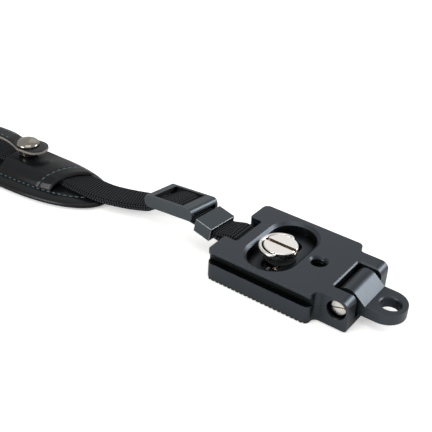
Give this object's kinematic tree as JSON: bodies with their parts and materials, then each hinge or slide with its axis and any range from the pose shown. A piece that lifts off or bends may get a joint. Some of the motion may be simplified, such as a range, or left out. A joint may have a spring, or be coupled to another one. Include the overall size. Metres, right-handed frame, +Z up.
{
  "type": "camera hand grip strap",
  "caption": "Camera hand grip strap: quick-release plate with a captive camera screw and hinged lug, webbing with keeper and adjuster, and a leather hand pad with a press-stud tab.",
  "frame": {"origin": "on the plate's camera face, straight under the tripod socket", "axes": "+X along the plate from its strap end to its lug end, +Y across the plate towards the back edge, +Z up from the camera face to the tripod face"},
  "size_m": [0.2856, 0.0463, 0.0155],
  "materials": {
    "anodised": "fine matt anodised, dark grey",
    "nickel": "bright nickel plated",
    "dark_steel": "blackened steel",
    "zinc": "cast zinc with a dark satin coat",
    "rubber": "matt moulded rubber with cross ribs",
    "nylon": "plain black nylon",
    "webbing": "basket-woven nylon webbing",
    "leather": "smooth black leather with a soft sheen",
    "lining": "soft napped lining",
    "thread": "blue-grey waxed thread"
  },
  "bodies": {
    "plate": {"quick_release_plate": "anodised", "strap_bar": "dark_steel", "rubber_pad": "rubber", "hinge_pin": "nickel", "hinge_nut": "nickel", "hinge_washer_front": "nylon", "hinge_washer_back": "nylon", "adjuster_frame": "zinc", "webbing": "webbing", "pad_lining": "lining", "pad": "leather", "tunnel_sleeve": "leather", "tab_patch": "leather", "stud_post": "nickel", "far_loop": "webbing"},
    "lug": {"strap_lug": "anodised"},
    "slip_washer": {"slip_washer": "nylon"},
    "clip": {"retaining_clip": "dark_steel"},
    "screw": {"camera_screw": "nickel"},
    "ring": {"d_ring": "nickel"},
    "keeper": {"keeper_loop": "zinc"},
    "tab": {"stud_tab": "leather", "stud_socket": "nickel", "stud_cap": "nickel"}
  },
  "joints": [
    {"name": "lug_hinge", "type": "hinge", "parent": "plate", "child": "lug", "pos_m": [0.0154, 0, 0.0076], "axis": [0, -1, 0], "range_deg": [-8, 110]},
    {"name": "screw_along_slot", "type": "slide", "parent": "plate", "child": "slip_washer", "axis": [0, 1, 0], "range_m": [-0.0059, 0.0085]},
    {"name": "screw_drop", "type": "slide", "parent": "slip_washer", "child": "clip", "axis": [0, 0, 1], "range_m": [-0.0017, 0]},
    {"name": "screw_turn", "type": "hinge", "parent": "clip", "child": "screw", "pos_m": [-0.0146, -0.0013, 0.0133], "axis": [0, 0, 1], "continuous": true},
    {"name": "ring_fold", "type": "hinge", "parent": "screw", "child": "ring", "pos_m": [-0.0137, -0.0013, 0.0124], "axis": [0, 1, 0], "range_deg": [0, 165]},
    {"name": "keeper_slide", "type": "slide", "parent": "plate", "child": "keeper", "axis": [0.9813, -0.0755, -0.1771], "range_m": [0, 0.0009]},
    {"name": "tab_lift", "type": "hinge", "parent": "plate", "child": "tab", "pos_m": [-0.18329, -0.01031, 0.00785], "axis": [0.1132, -0.9936, 0], "range_deg": [0, 110]}
  ]
}
